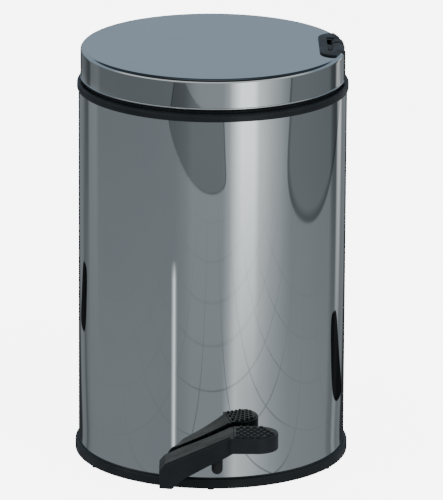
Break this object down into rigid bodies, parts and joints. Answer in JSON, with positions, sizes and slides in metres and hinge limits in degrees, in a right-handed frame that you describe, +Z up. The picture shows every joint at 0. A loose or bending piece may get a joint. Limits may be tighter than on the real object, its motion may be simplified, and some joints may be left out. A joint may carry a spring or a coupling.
{
  "type": "pedal bin",
  "caption": "Round mirror-steel pedal bin with a side-hinged lid, a tangential foot pedal across its front and a lift-out inner bucket.",
  "frame": {"origin": "centre of the base on the floor, on the bin's own axis", "axes": "+Z up along the bin's axis; -Y towards the front, where the pedal is; +X towards the lid's hinge side, along the pedal lever"},
  "size_m": [0.2586, 0.2953, 0.3966],
  "materials": {
    "polished_steel": "mirror polished",
    "black_plastic": "semi-gloss moulded",
    "inner_plastic": "satin moulded",
    "bucket_plastic": "satin moulded",
    "zinc_steel": "zinc plated",
    "bright_steel": "drawn",
    "soft_rubber": "matte"
  },
  "bodies": {
    "base": {"body_shell": "polished_steel", "rim_ring": "black_plastic", "base_tray": "black_plastic", "non_slip_feet": "soft_rubber", "front_bush": "inner_plastic", "shaft_saddles": "inner_plastic", "saddle_screws": "bright_steel", "rocker_bracket": "zinc_steel", "bracket_screws": "bright_steel", "rocker_pin": "bright_steel", "lower_rod_guide": "inner_plastic", "upper_rod_guide": "inner_plastic", "hinge_housing": "black_plastic", "hinge_pin": "bright_steel", "hinge_screws": "bright_steel", "lid_buffers": "soft_rubber"},
    "pedal": {"pedal_lever": "black_plastic", "pedal_tread": "black_plastic", "pedal_stop": "soft_rubber", "pedal_shaft": "bright_steel", "shaft_clip": "bright_steel", "crank_arm": "zinc_steel", "crank_pin": "bright_steel"},
    "rocker": {"transfer_rocker": "zinc_steel", "rocker_end_pin": "bright_steel"},
    "rod": {"lift_rod": "bright_steel", "rod_foot": "inner_plastic", "rod_head": "inner_plastic"},
    "lid": {"lid_shell": "polished_steel", "lid_liner": "inner_plastic", "hinge_cover": "black_plastic", "lid_hinge_arm": "inner_plastic", "lug_pin": "bright_steel", "lid_screws": "bright_steel"},
    "bucket": {"inner_bucket": "bucket_plastic"},
    "bail": {"bucket_bail": "bright_steel", "bail_grip": "bucket_plastic"}
  },
  "joints": [
    {"name": "pedal_press", "type": "hinge", "parent": "base", "child": "pedal", "pos_m": [-0.04, 0, 0.02], "axis": [0, 1, 0], "range_deg": [0, 25]},
    {"name": "rocker_tilt", "type": "hinge", "parent": "base", "child": "rocker", "pos_m": [0.04248, 0.00197, 0.02], "axis": [0, -1, 0], "range_deg": [0, 19]},
    {"name": "rod_lift", "type": "slide", "parent": "base", "child": "rod", "axis": [0, 0, 1], "range_m": [0, 0.02314]},
    {"name": "lid_open", "type": "hinge", "parent": "base", "child": "lid", "pos_m": [0.11648, 0.00203, 0.389], "axis": [-0.0175, 0.9998, 0], "range_deg": [0, 80]},
    {"name": "bucket_lift", "type": "slide", "parent": "base", "child": "bucket", "axis": [0, 0, 1], "range_m": [0, 0.008]},
    {"name": "bail_swing", "type": "hinge", "parent": "bucket", "child": "bail", "pos_m": [0, 0, 0.326], "axis": [0, 1, 0], "range_deg": [0, 30]}
  ],
  "couplings": [
    {"joint": "rocker_tilt", "follows": "pedal_press", "ratio": 0.76},
    {"joint": "rod_lift", "follows": "pedal_press", "m_per_rad": 0.05303},
    {"joint": "lid_open", "follows": "pedal_press", "ratio": 3.2}
  ]
}
